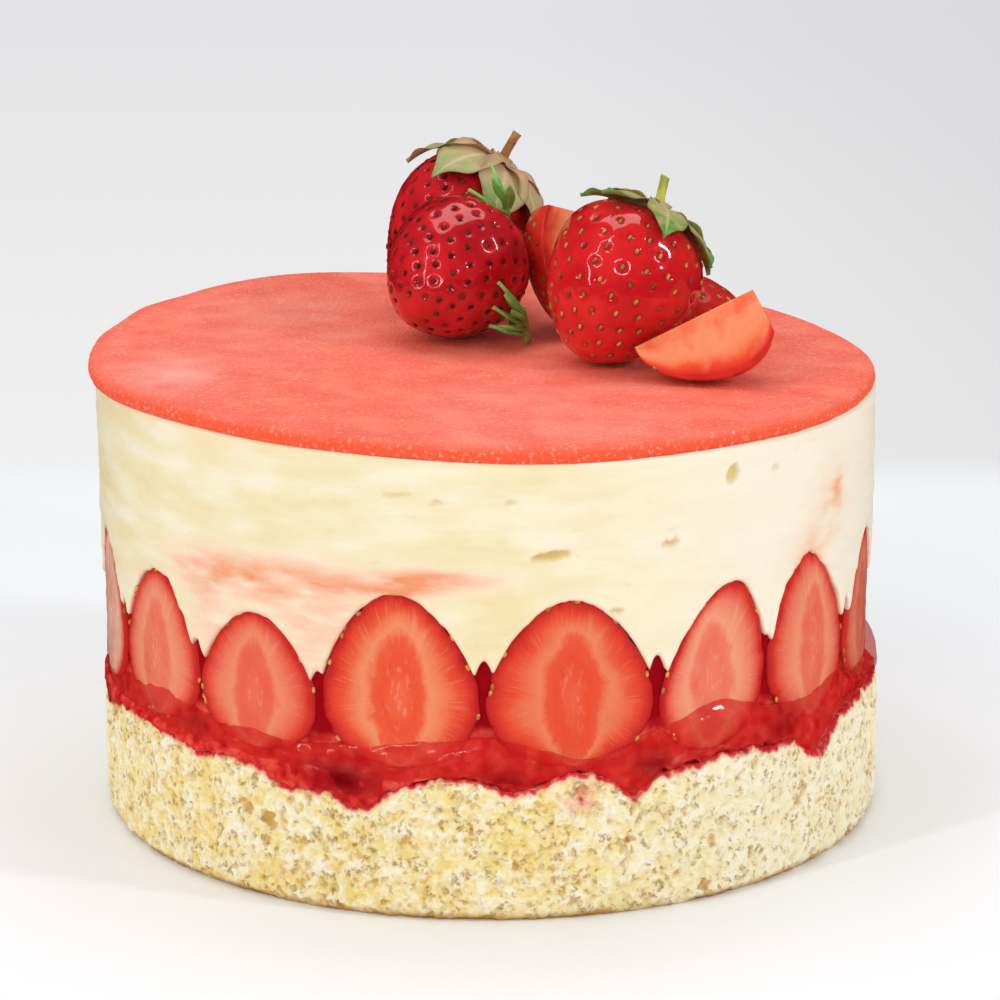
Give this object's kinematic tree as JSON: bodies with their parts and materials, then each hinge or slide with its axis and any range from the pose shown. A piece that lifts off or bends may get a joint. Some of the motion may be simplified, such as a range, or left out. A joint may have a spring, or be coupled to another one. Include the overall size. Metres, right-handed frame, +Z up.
{
  "type": "fraisier cake",
  "caption": "Round strawberry layer cake: sponge base, red jelly, halved strawberries set in cream, a marzipan disc, and whole and cut strawberries with rosemary on top.",
  "frame": {"origin": "the middle of the sponge's flat base", "axes": "+Z up, -Y towards the viewer of the front, +X to that viewer's right"},
  "size_m": [0.1523, 0.1517, 0.124],
  "materials": {
    "sponge": "open sponge crumb, matt",
    "jelly": "glossy red strawberry jelly",
    "berry_flesh": "moist cut strawberry",
    "cream": "pale yellow mousseline cream, satin",
    "marzipan": "coral marzipan, fine grained",
    "berry_skin": "glossy strawberry skin with seeds",
    "sepal": "drying green leaf",
    "rosemary": "green needle leaves"
  },
  "bodies": {
    "root": {"sponge": "sponge", "jelly": "jelly", "berry_half_01": "berry_flesh", "berry_half_02": "berry_flesh", "berry_half_03": "berry_flesh", "berry_half_04": "berry_flesh", "berry_half_05": "berry_flesh", "berry_half_06": "berry_flesh", "berry_half_07": "berry_flesh", "berry_half_08": "berry_flesh", "berry_half_09": "berry_flesh", "berry_half_10": "berry_flesh", "berry_half_11": "berry_flesh", "berry_half_12": "berry_flesh", "berry_half_13": "berry_flesh", "berry_half_14": "berry_flesh", "berry_half_15": "berry_flesh", "berry_half_16": "berry_flesh", "cream": "cream", "marzipan": "marzipan", "strawberry_rear": "berry_skin", "strawberry_left": "berry_skin", "strawberry_right": "berry_skin", "strawberry_half": "berry_flesh", "strawberry_wedge": "berry_flesh", "strawberry_piece": "berry_flesh", "calyx_rear": "sepal", "calyx_right": "sepal", "rosemary_low": "rosemary", "rosemary_high": "rosemary"}
  },
  "joints": []
}
